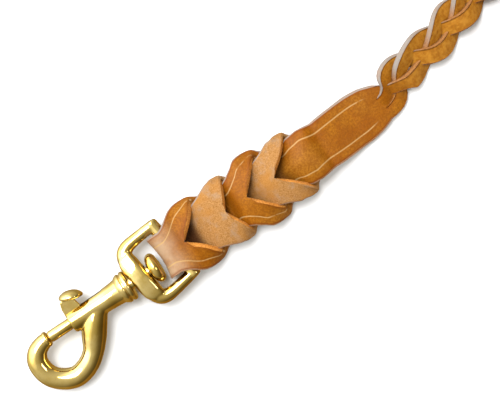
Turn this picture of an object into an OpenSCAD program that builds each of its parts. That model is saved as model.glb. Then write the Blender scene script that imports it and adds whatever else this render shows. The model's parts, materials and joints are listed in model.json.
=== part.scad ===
// Braided leather lead with a swivel-eye bolt snap.
// The lead lies on a table along +X: the snap at the -X end, the plait leaving at the +X end.
// Lengths are millimetres, +Z is up and z = 0 is the table.

/* [Snap body] */
// Length of the barrel from its mouth to its back face
barrel_len = 34.5; // [31:0.1:38]
// Outer diameter of the barrel at its mouth
barrel_d = 10.9; // [10:0.1:12]
// Outer diameter of the two rims at the back of the barrel
collar_d = 15.8; // [15.6:0.1:17]
// Gap between the hook's tip and the barrel's mouth
gate = 13.4; // [13:0.1:17]
// Depth of the hook's bend below the bolt's axis, on its centreline
hook_drop = 23.4; // [21:0.1:26]
// How far the hook's bend reaches in front of its tip, on its centreline
hook_reach = 11; // [9:0.1:12.5]
// Diameter of the hook at its tip
hook_tip_d = 7.4; // [6.6:0.1:8.2]
// Diameter of the hook at the bottom of its bend
hook_d = 10.7; // [9.8:0.1:11.6]

/* [Bolt] */
// Diameter of the sliding bolt
bolt_d = 5.9; // [5:0.1:6.2]
// Length of the bolt that stays inside the barrel when the gate is shut
bolt_held = 10.5; // [9:0.1:12]
// How far the bolt slides back
bolt_travel = 12.4; // [10:0.1:12.6]
// Radial running clearance between the bolt and its bore
bolt_clear = 0.1; // [0.05:0.01:0.2]
// Depth of the bolt's blind bore
bore_len = 27.5; // [26.5:0.1:28]
// Wire diameter of the bolt's spring
wire_d = 0.6; // [0.4:0.05:0.7]
// Number of turns in the bolt's spring
spring_turns = 7; // [5:1:7]

/* [Thumb knob] */
// Diameter of the knob's domed head
knob_d = 12.2; // [9:0.1:13]
// Thickness of the knob's head
knob_head = 4.3; // [3:0.1:5]
// Height of the underside of the head above the bolt's axis
knob_rise = 9.7; // [9:0.1:11.5]
// Width of the knob's tab along the barrel
tab_len = 8.8; // [6:0.1:9]
// Thickness of the knob's tab
tab_t = 3.6; // [3:0.1:4.2]
// Clearance on each side of the tab in its slot
slot_clear = 0.3; // [0.2:0.05:0.6]
// Diameter of the pin that holds the knob in the bolt
knob_pin_d = 2.6; // [2:0.1:3]
// Backward lean of the knob's head, in degrees
knob_lean = 20; // [0:1:25]
// How far the middle of the knob's head sits behind the middle of the tab
knob_back = 1.2; // [0:0.1:2]

/* [Swivel eye] */
// Clear length of the eye from its base to the axis of the far bar
eye_window = 16.4; // [16:0.1:19]
// Thickness of the eye's base along the barrel
eye_base = 9.4; // [8.4:0.1:11]
// Height of the eye's base
eye_boss_d = 11.6; // [10:0.1:13]
// Clear width between the arms at the far bar
eye_clear = 25.2; // [24.8:0.1:28]
// Diameter of the arms at the far bar
arm_d = 5.6; // [5:0.1:6.2]
// Diameter of the far bar that the leather folds round
bar_d = 6.4; // [5.6:0.1:7]
// How far the ends of the far bar stand out of the arms
bar_nub = 0.9; // [0.3:0.1:1.5]
// Diameter of the swivel's stem
stem_d = 6; // [5:0.1:6.6]
// Depth of the stem's seat in the barrel
stem_seat = 4; // [3:0.1:4.2]
// Diameter of the stem's button head
button_d = 15.6; // [13:0.1:15.6]
// Thickness of the button head
button_t = 5.4; // [3.5:0.1:5.6]
// Radial running clearance of the stem in the eye
stem_clear = 0.08; // [0.04:0.01:0.1]
// Least end clearance on each side of the eye's base
swivel_gap = 0.15; // [0.1:0.05:0.3]
// How far the loose eye hangs askew on its stem, in degrees
eye_skew = 8; // [0:0.5:9]

/* [Leather] */
// Thickness of the strap
strap_t = 3.8; // [3.2:0.1:4]
// Width of the strap where it lies flat
strap_w = 26; // [24:0.1:28]
// Width of the fold between the eye's arms
fold_w = 22.4; // [20:0.1:22.6]
// Clearance between the fold and the far bar
fold_clear = 0.3; // [0.2:0.05:0.4]
// Distance from the far bar to the first slit
slit_start = 6.7; // [6.4:0.1:9]
// Distance from the first slit to the second
slit_a = 24.7; // [21:0.1:29]
// Distance from the second slit to the third
slit_b = 12.5; // [11:0.1:17]
// Distance from the third slit to the fourth
slit_c = 16.1; // [13:0.1:20]
// Distance from the fourth slit to the end of the splice
slit_d = 18; // [15:0.1:22]
// Length of the tail's end past the splice
tail_len = 12; // [8:0.1:16]
// Length of the flat strap between the splice and the plait
flat_len = 48.4; // [44:0.1:76]

/* [Plait] */
// Width of the flat plait
plait_w = 19.5; // [18:0.1:20]
// Thickness of the flat plait
plait_t = 7.6; // [7:0.1:8]
// Length of the plait that lies free between the strap and the hank
free_len = 114; // [100:1:130]
// How far the free plait bears sideways
free_drift = 16.3; // [10:0.1:20]
// Space between the loops of the hank that lie on each other
loop_gap = 0.7; // [0.5:0.1:1.2]
// Thickness of the tie round the hank
tie_t = 1.6; // [1:0.1:1.8]
// Width of the tie round the hank
tie_w = 12; // [8:0.5:16]
// Length of the lead's flat end
end_len = 48; // [30:1:50]

/* [Hidden] */
$fn = 64;

brass = [0.85, 0.68, 0.30];
steel = [0.62, 0.62, 0.60];
tan_leather = [0.74, 0.45, 0.18];
pale_leather = [0.78, 0.58, 0.38];

// Places along the lead, measured from the axis of the eye's far bar
base_in = -eye_window;
base_out = base_in - eye_base;
base_mid = (base_in + base_out) / 2;

// The snap's axis runs along X through the middle of the askew eye's base
axis_x = base_mid * cos(eye_skew);
axis_y = base_mid * sin(eye_skew);
base_reach = eye_base / 2 / cos(eye_skew);
end_gap = swivel_gap + max(collar_d, button_d) / 2 * tan(eye_skew);
eye_bore_d = (stem_d + 2 * stem_clear) / cos(eye_skew) + eye_base * tan(eye_skew);
barrel_back = axis_x - base_reach - end_gap;
mouth = barrel_back - barrel_len;
tip = mouth - gate;

// The hook's centreline from its tip round to the barrel: [x, y, radius]
hook_points = [
    [tip, 0, hook_tip_d / 2],
    [tip - 0.38 * hook_reach, -0.03 * hook_drop, 0.39 * hook_d],
    [tip - 0.77 * hook_reach, -0.13 * hook_drop, 0.45 * hook_d],
    [tip - hook_reach, -0.33 * hook_drop, 0.48 * hook_d],
    [tip - 0.94 * hook_reach, -0.625 * hook_drop, 0.49 * hook_d],
    [tip - 0.56 * hook_reach, -0.86 * hook_drop, 0.495 * hook_d],
    [tip + 0.06 * gate, -hook_drop, 0.5 * hook_d],
    [mouth - 0.38 * gate, -0.935 * hook_drop, 0.495 * hook_d],
    [mouth + 0.03 * barrel_len, -0.757 * hook_drop, 0.49 * hook_d],
    [mouth + 0.157 * barrel_len, -0.514 * hook_drop, 0.57 * hook_d],
    [mouth + 0.272 * barrel_len, -0.27 * hook_drop, 0.59 * hook_d],
    [mouth + 0.403 * barrel_len, -0.083 * hook_drop, 0.52 * hook_d],
    [mouth + 0.56 * barrel_len, 0, 0.43 * hook_d]
];
hook_steps = 3;
hook_sides = 14;

// Smooth curve through four points, between the two middle ones
function between(a, b, c, d, t) =
    0.5 * (2 * b + (c - a) * t + (2 * a - 5 * b + 4 * c - d) * t * t + (3 * b - a - 3 * c + d) * t * t * t);

// A list of points made smooth, with a number of steps between neighbours
function smooth(p, steps) = let (n = len(p) - 1) concat(
    [for (i = [0:n - 1]) for (k = [0:steps - 1])
        between(p[max(i - 1, 0)], p[i], p[i + 1], p[min(i + 2, n)], k / steps)],
    [p[n]]
);

function unit(v) = v / norm(v);

// The snap lies on its collar and on the bend of its hook
axis_z = collar_d / 2;
snap_roll = asin((axis_z - hook_d / 2) / hook_drop);

hook_line = smooth(hook_points, hook_steps);
hook_left = min([for (p = hook_line) p[0] - p[2]]);
hook_low = axis_y + min([for (p = hook_line) p[1] - p[2]]) * cos(snap_roll);

// Places along the splice and the flat strap
slits = [
    slit_start,
    slit_start + slit_a,
    slit_start + slit_a + slit_b,
    slit_start + slit_a + slit_b + slit_c,
    slit_start + slit_a + slit_b + slit_c + slit_d
];
splice_end = slits[4];
tail_end = splice_end + tail_len;
strap_end = splice_end + flat_len;
strap_end_w = 0.77 * strap_w;

module placed() {
    translate([-mid_x, -mid_y, axis_z]) children();
}

// The snap lies rolled on its own axis
module on_axis() {
    placed() translate([0, axis_y, 0]) rotate([snap_roll, 0, 0]) children();
}

module along_x(from) {
    translate([from, 0, 0]) rotate([0, 90, 0]) children();
}

// A tube of round section round a flat centreline of [x, y, radius]
module flat_tube(line, sides) {
    n = len(line);
    heading = [for (i = [0:n - 1])
        let (a = line[max(i - 1, 0)], b = line[min(i + 1, n - 1)]) unit([b[0] - a[0], b[1] - a[1]])];
    points = [for (i = [0:n - 1]) for (k = [0:sides - 1])
        let (side = line[i][2] * cos(360 * k / sides), up = line[i][2] * sin(360 * k / sides))
        [line[i][0] - heading[i][1] * side, line[i][1] + heading[i][0] * side, up]];
    faces = concat(
        [[for (k = [0:sides - 1]) k]],
        [for (i = [0:n - 2]) for (k = [0:sides - 1])
            let (j = (k + 1) % sides)
            [i * sides + k, (i + 1) * sides + k, (i + 1) * sides + j]],
        [for (i = [0:n - 2]) for (k = [0:sides - 1])
            let (j = (k + 1) % sides)
            [i * sides + k, (i + 1) * sides + j, i * sides + j]],
        [[for (k = [sides - 1:-1:0]) (n - 1) * sides + k]]
    );
    polyhedron(points, faces, convexity = 6);
}

// Snap

bore_d = bolt_d + 2 * bolt_clear;
tab_proud = 0.3;
nose_gap = 0.4;
tab_front = mouth - tab_proud;
tab_back = tab_front + tab_len;
slot_end = tab_back + bolt_travel + slot_clear;
bolt_nose = tip + nose_gap;
bolt_back = mouth + bolt_held;
spring_seat = mouth + bore_len;
knob_x = tab_front + 0.5 * tab_len;

// Half outline of the barrel, from its mouth to the two rims and the groove between them
module barrel_outline() {
    rim = collar_d / 2;
    front = barrel_d / 2;
    round_off = 0.5;
    groove = 0.6;
    rims = barrel_len - 0.116 * barrel_len;
    neck = rim - 2 * groove;
    polygon([
        [0, 0], [front - round_off, 0], [front, round_off], [front + 0.2 * round_off, 0.55 * barrel_len],
        [neck - round_off, 0.8 * barrel_len], [neck, rims - groove], [neck + 0.5 * groove, rims],
        [rim - round_off, rims], [rim, rims + round_off], [rim, rims + 2.5 * round_off],
        [rim - groove, rims + 3.4 * round_off], [rim - groove, rims + 4.6 * round_off],
        [rim - 0.1, barrel_len - 2.5 * round_off], [rim - 0.1, barrel_len - round_off],
        [rim - groove, barrel_len], [0, barrel_len]
    ]);
}

module snap_body() {
    bead_t = 1.6;
    color(brass) on_axis() difference() {
        union() {
            along_x(mouth) rotate_extrude() barrel_outline();
            flat_tube(hook_line, hook_sides);
            along_x(tip - bead_t) cylinder(h = bead_t, d = hook_tip_d + 0.5);
        }
        along_x(mouth - 0.01) cylinder(h = bore_len + 0.01, d = bore_d);
        along_x(barrel_back - stem_seat) cylinder(h = stem_seat + 1, d = stem_d);
        translate([mouth - 1, 0, -tab_t / 2 - slot_clear])
            cube([slot_end - mouth + 1, barrel_d, tab_t + 2 * slot_clear]);
    }
}

module snap_bolt() {
    r = bolt_d / 2;
    length = bolt_back - bolt_nose;
    color(brass) on_axis() difference() {
        along_x(bolt_nose) rotate_extrude()
            polygon([[0, 0], [r - 0.9, 0], [r, 1.2], [r, length - 0.4], [r - 0.4, length], [0, length]]);
        translate([knob_x, 0, 0]) rotate([-90, 0, 0]) cylinder(h = r + 1, d = knob_pin_d);
    }
}

// The knob: a pin in the bolt, a tab through the slot and a domed head that leans back
module thumb_knob() {
    seat = bolt_d / 2;
    lean_x = knob_head * sin(knob_lean) + knob_back;
    color(brass) on_axis() union() {
        translate([knob_x, 0, 0]) rotate([-90, 0, 0]) cylinder(h = seat + 1, d = knob_pin_d);
        translate([0, 0, -tab_t / 2]) linear_extrude(tab_t)
            polygon([
                [tab_front, seat], [tab_back, seat], [tab_back, barrel_d / 2 + 0.4],
                [knob_x + 0.42 * tab_len + lean_x, knob_rise + 1], [knob_x - 0.3 * tab_len, knob_rise + 1.6],
                [tab_front, barrel_d / 2 + 1]
            ]);
        translate([knob_x + lean_x, knob_rise, 0]) rotate([-90, 0, 0]) rotate([0, knob_lean, 0])
            rotate_extrude() knob_outline();
    }
}

module knob_outline() {
    r = knob_d / 2;
    edge = 1.1;
    intersection() {
        union() {
            square([r - edge, knob_head]);
            translate([r - edge, edge]) circle(edge);
            translate([0, edge]) square([r, 0.01]);
            dome();
        }
        square([r + 1, knob_head]);
    }
    module dome() {
        big = (r * r + (knob_head - edge) * (knob_head - edge)) / (2 * (knob_head - edge));
        intersection() {
            translate([0, knob_head - big]) circle(big, $fn = 128);
            translate([0, edge]) square([r, knob_head]);
        }
    }
}

module bolt_spring() {
    coil_r = bolt_d / 2 - wire_d / 2 - 0.15;
    gap = 0.15;
    length = spring_seat - bolt_back - 2 * gap - wire_d;
    rings = 8 * spring_turns;
    sides = 6;
    points = [for (i = [0:rings]) for (k = [0:sides - 1])
        let (turn = 360 * spring_turns * i / rings, r = coil_r + wire_d / 2 * cos(360 * k / sides))
        [bolt_back + gap + wire_d / 2 + length * i / rings + wire_d / 2 * sin(360 * k / sides),
            r * cos(turn), r * sin(turn)]];
    faces = concat(
        [[for (k = [sides - 1:-1:0]) k]],
        [for (i = [0:rings - 1]) for (k = [0:sides - 1])
            let (j = (k + 1) % sides) [i * sides + k, (i + 1) * sides + j, (i + 1) * sides + k]],
        [for (i = [0:rings - 1]) for (k = [0:sides - 1])
            let (j = (k + 1) % sides) [i * sides + k, i * sides + j, (i + 1) * sides + j]],
        [[for (k = [0:sides - 1]) rings * sides + k]]
    );
    color(steel) on_axis() polyhedron(points, faces, convexity = 10);
}

// Swivel eye

arm_y = (eye_clear + arm_d) / 2;
arm_root_d = 1.14 * arm_d;
arm_root = [base_in - 0.47 * arm_root_d, arm_y];
eye_half = eye_clear / 2 + arm_d + bar_nub;

// The eye's base has broad round shoulders and a flat face towards the far bar
shoulder_r = 0.9 * eye_base;
shoulder_x = base_out + shoulder_r;
shoulder_y = arm_y + arm_root_d / 2 - shoulder_r;

module swivel_eye() {
    color(brass) placed() rotate([0, 0, eye_skew]) difference() {
        union() {
            eye_foot();
            for (side = [-1, 1]) arm(side);
            rotate([90, 0, 0]) cylinder(h = 2 * eye_half, d = bar_d, center = true);
        }
        along_x(base_out - 1) cylinder(h = eye_base + 2, d = eye_bore_d);
    }
}

module eye_foot() {
    intersection() {
        hull() {
            along_x(base_out) cylinder(h = eye_base, d = eye_boss_d, $fn = 32);
            for (side = [-1, 1]) {
                translate([shoulder_x, side * shoulder_y, 0])
                    scale([1, 1, 0.4 * eye_boss_d / shoulder_r]) sphere(shoulder_r, $fn = 32);
                translate([arm_root[0], side * arm_root[1], 0]) sphere(d = arm_root_d, $fn = 24);
            }
        }
        translate([base_out, -2 * arm_y, -eye_boss_d]) cube([eye_base, 4 * arm_y, 2 * eye_boss_d]);
    }
}

// One arm, from the shoulder of the base to the rounded corner at the far bar
module arm(side) {
    root = [arm_root[0], side * arm_root[1], 0];
    far = [0, side * arm_y, 0];
    way = far - root;
    translate(root) rotate([0, 90, atan2(way[1], way[0])])
        cylinder(h = norm(way), d1 = arm_root_d, d2 = arm_d);
    translate(far) sphere(d = 1.07 * arm_d);
}

// The stem is seated in the barrel and its button head keeps the eye on
module swivel_stem() {
    head = axis_x + base_reach + end_gap;
    edge = button_t / 2;
    color(brass) placed() translate([0, axis_y, 0]) union() {
        along_x(barrel_back - stem_seat) cylinder(h = head - barrel_back + stem_seat + 1, d = stem_d);
        along_x(head) rotate_extrude() union() {
            square([button_d / 2 - edge, button_t]);
            intersection() {
                translate([button_d / 2 - edge, edge]) circle(edge);
                translate([button_d / 2 - edge - 0.01, 0]) square([edge + 1, button_t]);
            }
        }
    }
}

// Leather

fold_r = bar_d / 2 + fold_clear;
layer_z = fold_r + strap_t / 2;
half_w = strap_w / 2;

// The lead drifts sideways a little as it leaves the snap
bow_shares = [
    [0, -0.027], [slits[0], -0.015], [slits[1], 0.023], [slits[2], 0.035], [slits[3], 0.05],
    [splice_end, 0.058], [(splice_end + strap_end) / 2, 0.104], [strap_end, 0.135]
];
function bow(x) = strap_w * lookup(x, bow_shares);

// The legs' outer edges run on past their slits towards the plait
lag_shares = [
    [slits[0], 0], [slits[0] + 0.8 * slit_a, -0.077], [slits[1] + 0.8 * slit_b, 0],
    [slits[2] + 0.8 * slit_c, 0.192], [slits[3] + 0.8 * slit_d, 0.169], [tail_end, 0]
];
function lag(x, y) = strap_w * lookup(x, lag_shares) * abs(y) / (1.25 * half_w);

// Cross-sections through one crossing, where a slit strap opens round the strap that rises through it.
// Each row is [share of the way, leg's inner edge y and z, leg's outer edge y and z,
// riser's middle z, its edge y and z], with y in half widths of the strap and z in thicknesses.
crossing = [
    [0.00, 0.00,  1.15, 1.24,  0.15, -1.15, 1.00, -1.25],
    [0.12, 0.18,  1.30, 1.30,  0.05, -1.00, 0.96, -1.25],
    [0.25, 0.38,  1.35, 1.33, -0.25, -0.62, 0.87, -1.10],
    [0.38, 0.62,  1.20, 1.31, -0.80, -0.18, 0.77, -0.62],
    [0.50, 0.87,  0.75, 1.27, -1.30,  0.20, 0.73, -0.26],
    [0.60, 0.99, -0.20, 1.22, -1.50,  0.48, 0.77, -0.02],
    [0.70, 0.78, -1.00, 1.16, -1.48,  0.72, 0.88,  0.12],
    [0.84, 0.42, -1.22, 1.06, -1.40,  0.98, 1.10,  0.20],
    [1.00, 0.00, -1.15, 1.00, -1.25,  1.15, 1.24,  0.15]
];

// How wide the legs spread at each crossing
spread = [1, 0.97, 1.08, 1];

// Stations of a strap are [x, inner y, inner z, outer y, outer z]
function legs(i) = [for (row = crossing)
    [slits[i] + row[0] * (slits[i + 1] - slits[i]),
        row[1] * half_w, row[2] * strap_t, row[3] * half_w * spread[i], row[4] * strap_t]];
function riser(i) = [for (row = crossing)
    [slits[i] + row[0] * (slits[i + 1] - slits[i]),
        0, row[5] * strap_t, min(row[6], i == 3 ? 0.98 : 2) * half_w, row[7] * strap_t]];
function tail_of(list) = [for (k = [1:len(list) - 1]) list[k]];

// The strap's surface has its slit open wherever the inner edge is off the middle
function ring(s) =
    let (
        dir = unit([s[3] - s[1], s[4] - s[2]]),
        n = [-dir[1], dir[0]] * strap_t / 2,
        open = s[1] > 0,
        inner = [s[1], s[2]],
        outer = [s[3], s[4]],
        swell = norm(outer - inner) * (abs(s[4] - s[2]) > 0.05 ? 0.06 : 0),
        middle = (inner + outer) / 2 + unit(n) * swell,
        up = open ? n : [0, strap_t / 2]
    )
    [inner + up, middle + n, outer + n, outer - n, middle - n, inner - up];

// The part's origin is under the middle of the snap, the splice and the flat strap
splice_half = max([for (i = [0:3]) for (s = legs(i)) for (p = ring(s)) p[0] + bow(s[0])]);
mid_x = (hook_left + strap_end) / 2;
mid_y = (hook_low + max(eye_half, splice_half)) / 2;

module ribbon(stations) {
    n = len(stations);
    corners = 6;
    points = [for (s = stations) for (side = [1, -1]) for (p = ring(s))
        [s[0] + lag(s[0], p[0]), side * p[0] + bow(s[0]), p[1]]];
    function open(i) = stations[i][1] > 0;
    function at(i, side, c) =
        (side == 1 && !open(i) && (c == 0 || c == corners - 1) ? 0 : side) * corners + i * 2 * corners + c;
    function quad(a, b, c, d, flip) = flip ? [[a, c, b], [a, d, c]] : [[a, b, c], [a, c, d]];
    walls = [for (i = [0:n - 2]) for (side = [0, 1]) for (c = [0:corners - 1])
        if (c < corners - 1 || open(i) || open(i + 1))
            let (e = (c + 1) % corners)
            each quad(at(i, side, c), at(i + 1, side, c), at(i + 1, side, e), at(i, side, e), side == 0)];
    caps = [for (side = [0, 1]) for (end = [0, n - 1])
        for (pair = [[0, 1, 4, 5], [1, 2, 3, 4]])
            each quad(
                at(end, side, pair[0]), at(end, side, pair[1]),
                at(end, side, pair[2]), at(end, side, pair[3]),
                (side == 0) == (end == 0)
            )];
    polyhedron(points, concat(walls, caps), convexity = 10);
}

fold_half = fold_w / 2;
fold_x = -(fold_half + abs(bow(0))) * tan(eye_skew);

// The fold round the far bar, with room for the bar to lie askew in it
module eye_fold() {
    color(tan_leather) placed() translate([fold_x, bow(0), 0]) rotate([90, 0, 0]) rotate([0, 0, 90])
        rotate_extrude(angle = 180) translate([fold_r, -fold_half]) square([strap_t, fold_w]);
}

flat_z = strap_t / 2 - axis_z;
tail_gap = 0.3;
over_tail_z = flat_z + strap_t + tail_gap;
crest_z = over_tail_z + tail_gap;
ramp_z = (over_tail_z + flat_z) / 2;
fold_end = 0.62 * slit_start;

// The strap from the fold, through the splice, to where it is cut into strands
module main_strap() {
    first = concat([[slits[0], 0, crossing[0][2] * strap_t, 1.2 * half_w, 0.6 * strap_t]], tail_of(legs(0)));
    stations = concat(
        [
            [fold_x, 0, layer_z, fold_half, layer_z],
            [0.15 * slit_start, 0, layer_z, 0.885 * half_w, layer_z],
            [fold_end, 0, layer_z, 1.05 * half_w, layer_z - 0.05 * strap_t]
        ],
        first, tail_of(riser(1)), tail_of(legs(2)), tail_of(riser(3)),
        [
            [splice_end + 0.42 * tail_len, 0, 0.85 * strap_t, 0.95 * half_w, 0.3 * strap_t],
            [splice_end + 0.83 * tail_len, 0, crest_z + tail_gap, 0.88 * half_w, crest_z],
            [tail_end + 0.17 * tail_len, 0, over_tail_z, 0.97 * half_w, over_tail_z],
            [tail_end + 0.83 * tail_len, 0, ramp_z, half_w, ramp_z],
            [tail_end + 1.5 * tail_len, 0, flat_z, half_w, flat_z],
            [strap_end - 0.2 * flat_len, 0, flat_z, 0.93 * half_w, flat_z],
            [strap_end, 0, flat_z, strap_end_w / 2, flat_z]
        ]
    );
    color(tan_leather) placed() ribbon(stations);
}

// The strap's own tail, from the fold, through the splice, to its end under the flat strap
module tail_strap() {
    stations = concat(
        [[fold_x, 0, -layer_z, fold_half, -layer_z], [fold_end, 0, -layer_z, 0.877 * half_w, -layer_z]],
        riser(0), tail_of(legs(1)), tail_of(riser(2)), tail_of(legs(3)),
        [
            [splice_end + 0.33 * tail_len, 0, -1.3 * strap_t, 0.96 * half_w, -1.38 * strap_t],
            [splice_end + 0.67 * tail_len, 0, flat_z, 0.95 * half_w, flat_z],
            [tail_end - 0.42 * tail_len, 0, flat_z, 0.9 * half_w, flat_z],
            [tail_end - 0.125 * tail_len, 0, flat_z, 0.75 * half_w, flat_z],
            [tail_end, 0, flat_z, 0.55 * half_w, flat_z]
        ]
    );
    color(pale_leather) placed() ribbon(stations);
}

// Plait: the stretch that lies free, then the hank

// Route of the free stretch on the table, in the part's own frame, from the strap to the hank
strap_exit = [strap_end - mid_x, bow(strap_end) - mid_y];
run_shares = [
    [0.105, 0.22], [0.193, 0.43], [0.281, 0.565], [0.368, 0.675],
    [0.544, 0.847], [0.702, 0.957], [0.842, 0.994], [0.93, 1]
];
run_points = [for (share = run_shares) strap_exit + [share[0] * free_len, share[1] * free_drift]];
run_end = strap_exit + [free_len, free_drift];
square_start = 5;
square_end = 8;

// A flat tube of oval section: each row of the line is [x, y, z], and the section stays level
module oval_tube(line, width, thick, sides) {
    n = len(line);
    points = [for (i = [0:n - 1])
        let (a = line[max(i - 1, 0)], b = line[min(i + 1, n - 1)], h = unit([b[0] - a[0], b[1] - a[1]]))
        for (k = [0:sides - 1])
            let (side = width[i] / 2 * cos(360 * k / sides), up = thick / 2 * sin(360 * k / sides))
            [line[i][0] - h[1] * side, line[i][1] + h[0] * side, line[i][2] + up]];
    faces = concat(
        [[for (k = [0:sides - 1]) k]],
        [for (i = [0:n - 2]) for (k = [0:sides - 1])
            let (j = (k + 1) % sides)
            each [
                [i * sides + k, (i + 1) * sides + k, (i + 1) * sides + j],
                [i * sides + k, (i + 1) * sides + j, i * sides + j]
            ]],
        [[for (k = [sides - 1:-1:0]) (n - 1) * sides + k]]
    );
    polyhedron(points, faces, convexity = 10);
}

// The hank: loops with round folds and runs drawn in at the waist, each loop lying on the one before
fold_radius = 51;
run_len = 134;
waist = 34;
hank_turns = 2.5;
loop_rings = 24;
tie_slack = 0.3;
hank_z = tie_t + tie_slack + plait_t / 2;
layer = plait_t + loop_gap;
hank_start = run_end + [square_end, 0];

function run_y(u) = waist + (fold_radius - waist) * (1 + cos(360 * u)) / 2;
arc_share = 180 * fold_radius * PI / 180 / (180 * fold_radius * PI / 180 + run_len);

// One point of the hank after a number of turns: out along a run, round, back along the climbing run, round
function hank_point(turns) =
    let (
        whole = floor(turns),
        half = floor((turns - whole) * 2),
        t = (turns - whole) * 2 - half,
        side = half == 0 ? 1 : -1,
        run = 1 - arc_share,
        on_run = t < run,
        u = on_run ? t / run : (t - run) / arc_share,
        x = on_run ? side * (u - 0.5) * run_len : side * (run_len / 2 + fold_radius * sin(180 * u)),
        y = on_run ? side * run_y(u) : side * fold_radius * cos(180 * u),
        climb = half == 0 ? 0 : (on_run ? (1 - cos(180 * u)) / 2 : 1)
    )
    [hank_start[0] + run_len / 2 + x, hank_start[1] - fold_radius + y, hank_z + layer * (whole + climb)];

hank_rings = hank_turns * loop_rings;
hank_line = concat(
    [[run_end[0], run_end[1], hank_z]],
    [for (i = [0:hank_rings]) hank_point(i / loop_rings)],
    [hank_point(hank_turns) - [square_end, 0, 0]]
);
hank_last = len(hank_line) - 1;

// Least free height or width between stretches of the hank that are more than half a loop apart
hank_gaps = [for (i = [0:hank_last - loop_rings / 2]) for (k = [i + loop_rings / 2:hank_last])
    let (d = hank_line[k] - hank_line[i])
    max(norm([d[0], d[1]]) - plait_w, abs(d[2]) - plait_t)];
echo(least_gap_in_hank_mm = min(hank_gaps));

module braid_run() {
    route = concat([strap_exit], smooth(concat([strap_exit + [square_start, 0]], run_points), 2), [run_end]);
    n = len(route) - 1;
    line = [for (i = [0:n])
        let (t = i / n, rise = (1 - cos(180 * max(0, (t - 0.6) / 0.4))) / 2)
        [route[i][0], route[i][1], plait_t / 2 + (hank_z - plait_t / 2) * rise]];
    width = [for (i = [0:n]) strap_end_w + (plait_w - strap_end_w) * min(1, 2 * i / n)];
    color(tan_leather) oval_tube(line, width, plait_t, 12);
}

module braid_hank() {
    width = [for (p = hank_line) plait_w];
    color(tan_leather) oval_tube(hank_line, width, plait_t, 6);
}

// The tie goes round both sides of the hank at its waist
module hank_tie() {
    room = 1.6;
    corner = 5;
    inner_w = 2 * waist + plait_w + 2 * room;
    inner_h = hank_z + 2 * layer + plait_t / 2 + room - tie_t;
    x = hank_start[0] + run_len / 2;
    y = hank_start[1] - fold_radius;
    color(pale_leather) translate([x - tie_w / 2, y, tie_t + inner_h / 2]) rotate([90, 0, 90])
        linear_extrude(tie_w) difference() {
            band(inner_w + 2 * tie_t, inner_h + 2 * tie_t, corner + tie_t);
            band(inner_w, inner_h, corner);
        }
}

module band(w, h, r) {
    square([w - 2 * r, h], center = true);
    square([w, h - 2 * r], center = true);
    for (side = [-1, 1]) for (up = [-1, 1]) translate([side * (w / 2 - r), up * (h / 2 - r)]) circle(r);
}

// The lead's flat end, uncut leather with a rounded tip
module lead_end() {
    last = hank_line[hank_last];
    base_z = last[2] + plait_t / 2 - strap_t;
    w = 0.92 * strap_w;
    flare = w / 3;
    color(tan_leather) translate([last[0], last[1], base_z]) rotate([0, 0, 180]) linear_extrude(strap_t) {
        polygon([
            [0, -plait_w / 2], [flare, -w / 2], [end_len - w / 2, -w / 2],
            [end_len - w / 2, w / 2], [flare, w / 2], [0, plait_w / 2]
        ]);
        translate([end_len - w / 2, 0]) circle(d = w);
    }
}

snap_body();
snap_bolt();
thumb_knob();
bolt_spring();
swivel_eye();
swivel_stem();
eye_fold();
main_strap();
tail_strap();
braid_run();
braid_hank();
hank_tie();
lead_end();
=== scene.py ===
"""Braided leather lead with a swivel-eye bolt snap, lying on a pale table under soft light."""

import json
import math

import bmesh
import bpy
from mathutils import Matrix, Vector, noise


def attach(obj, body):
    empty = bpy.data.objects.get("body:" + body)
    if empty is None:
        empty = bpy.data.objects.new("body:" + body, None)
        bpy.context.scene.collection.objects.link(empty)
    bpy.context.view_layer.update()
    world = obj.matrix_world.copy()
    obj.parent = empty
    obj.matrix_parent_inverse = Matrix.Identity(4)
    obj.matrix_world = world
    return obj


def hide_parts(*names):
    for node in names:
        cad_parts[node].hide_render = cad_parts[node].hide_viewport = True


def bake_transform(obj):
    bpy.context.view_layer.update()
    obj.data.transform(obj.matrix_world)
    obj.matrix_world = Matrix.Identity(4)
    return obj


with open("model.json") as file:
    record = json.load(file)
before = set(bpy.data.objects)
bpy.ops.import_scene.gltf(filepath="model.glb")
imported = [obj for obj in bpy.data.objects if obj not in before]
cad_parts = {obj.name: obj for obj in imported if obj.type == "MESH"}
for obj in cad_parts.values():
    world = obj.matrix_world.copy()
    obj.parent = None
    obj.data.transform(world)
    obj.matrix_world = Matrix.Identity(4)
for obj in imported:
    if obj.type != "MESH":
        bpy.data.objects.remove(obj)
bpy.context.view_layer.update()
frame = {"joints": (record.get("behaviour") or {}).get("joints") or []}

MM = 0.001
joints = {j["name"]: j for j in frame["joints"]}

# The eye's far bar, the snap's axis and the turn of the askew eye, in millimetres and degrees
BAR_X, BAR_Y, AXIS_Z = [v / MM for v in joints["eye_pivot"]["pos_m"]]
SNAP_Y = joints["eye_swivel"]["pos_m"][1] / MM
EYE_SKEW = -math.degrees(math.asin(joints["eye_pivot"]["axis"][0]))

# Lengths are in millimetres. A name with a pair of places is a change that starts at one and is done at the other

# Leather's section: points across a half, rounding and softness of its rims, width of an open slit, bend of the
# middle by a shut and an open slit, and how far a slit's edge leans back at its top and bottom
ACROSS = 9
SECTION = 2 * ACROSS + 4
EDGE_ROUND = 0.8
RIM_SOFT = 0.6
SLIT_OPEN = 3.0
BEND = (1.9, 1.4)
GRAIN_SLANT = (2.2, 0.3)
FLESH_SLANT = (0.3, 3.0)

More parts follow.
